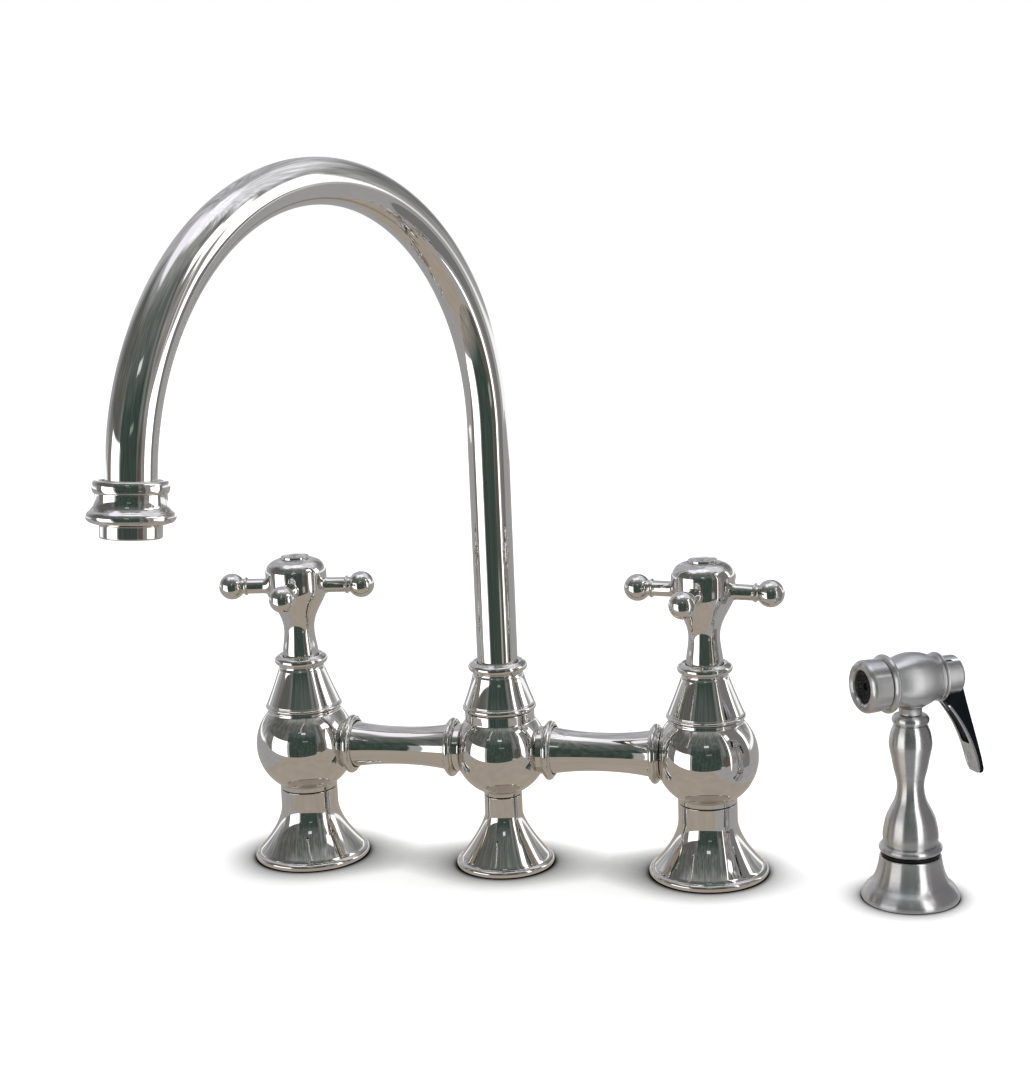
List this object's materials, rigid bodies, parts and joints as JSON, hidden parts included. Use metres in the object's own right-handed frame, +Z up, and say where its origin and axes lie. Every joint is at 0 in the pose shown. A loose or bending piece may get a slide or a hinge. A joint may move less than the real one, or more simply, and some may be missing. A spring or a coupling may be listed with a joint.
{
  "type": "bridge kitchen faucet",
  "caption": "Worktop-mounted bridge faucet with cross handles, a swivelling swan-neck spout and a lift-out side spray with a squeeze lever.",
  "frame": {"origin": "on the worktop's top face at the spout's axis", "axes": "+Z up, -Y towards the user, +X to the user's right, along the bridge to the side spray"},
  "size_m": [0.3698, 0.2765, 0.4068],
  "materials": {
    "polished_nickel": "polished bright plating on brass",
    "brushed_nickel": "satin brushed plating on brass",
    "brass": "machined, unplated",
    "steel": "stainless, as stamped or turned",
    "rubber": "black nitrile",
    "black_plastic": "moulded, satin black",
    "black_lever": "moulded, glossy black",
    "ceramic": null
  },
  "bodies": {
    "faucet": {"left_foot": "polished_nickel", "left_shank": "brass", "left_washer": "steel", "left_mounting_nut": "brass", "left_valve_body": "polished_nickel", "left_cartridge": "brass", "left_fixed_disc": "ceramic", "left_bonnet": "polished_nickel", "left_bridge_tube": "polished_nickel", "left_inner_union": "polished_nickel", "left_outer_union": "polished_nickel", "right_foot": "polished_nickel", "right_shank": "brass", "right_washer": "steel", "right_mounting_nut": "brass", "right_valve_body": "polished_nickel", "right_cartridge": "brass", "right_fixed_disc": "ceramic", "right_bonnet": "polished_nickel", "right_bridge_tube": "polished_nickel", "right_inner_union": "polished_nickel", "right_outer_union": "polished_nickel", "centre_foot": "polished_nickel", "centre_shank": "brass", "centre_washer": "steel", "centre_mounting_nut": "brass", "centre_body": "polished_nickel", "centre_bonnet": "polished_nickel", "spout_seal": "rubber", "diverter": "brass", "spray_holder": "brushed_nickel", "spray_holder_liner": "black_plastic", "spray_holder_washer": "rubber", "spray_holder_nut": "brass"},
    "left_handle_body": {"left_handle": "polished_nickel", "left_stem": "brass", "left_moving_disc": "ceramic", "left_handle_screw": "steel", "left_index_button": "polished_nickel"},
    "right_handle_body": {"right_handle": "polished_nickel", "right_stem": "brass", "right_moving_disc": "ceramic", "right_handle_screw": "steel", "right_index_button": "polished_nickel"},
    "spout": {"spout_tube": "polished_nickel", "spout_swivel_ring": "brass", "aerator_housing": "polished_nickel", "aerator_insert": "black_plastic"},
    "wand": {"spray_handle": "brushed_nickel", "spray_inlet": "brass", "spray_head": "brushed_nickel", "spray_nose": "brushed_nickel", "spray_face": "black_plastic", "spray_cap": "brushed_nickel", "spray_lever_pin": "steel"},
    "lever": {"spray_lever": "black_lever", "spray_lever_facing": "polished_nickel"},
    "plunger": {"spray_plunger": "brass"}
  },
  "joints": [
    {"name": "left_handle_turn", "type": "hinge", "parent": "faucet", "child": "left_handle_body", "pos_m": [-0.1016, 0, 0.1396], "axis": [0, 0, 1], "range_deg": [0, 90]},
    {"name": "right_handle_turn", "type": "hinge", "parent": "faucet", "child": "right_handle_body", "pos_m": [0.1016, 0, 0.1396], "axis": [0, 0, 1], "range_deg": [-90, 0]},
    {"name": "spout_swivel", "type": "hinge", "parent": "faucet", "child": "spout", "pos_m": [0, 0, 0.09], "axis": [0, 0, 1], "continuous": true},
    {"name": "spray_lift", "type": "slide", "parent": "faucet", "child": "wand", "axis": [0, 0, 1], "range_m": [0, 0.06]},
    {"name": "spray_lever_squeeze", "type": "hinge", "parent": "wand", "child": "lever", "pos_m": [0.21432, -0.00773, 0.1075], "axis": [-0.5592, 0.829, 0], "range_deg": [0, 10], "stiffness_Nm_per_rad": 0.5, "springref_deg": -5.73},
    {"name": "spray_plunger_slide", "type": "slide", "parent": "wand", "child": "plunger", "axis": [-0.829, -0.5592, 0], "range_m": [0, 0.0008]}
  ],
  "couplings": [
    {"joint": "spray_plunger_slide", "follows": "spray_lever_squeeze", "m_per_rad": 0.0042}
  ]
}
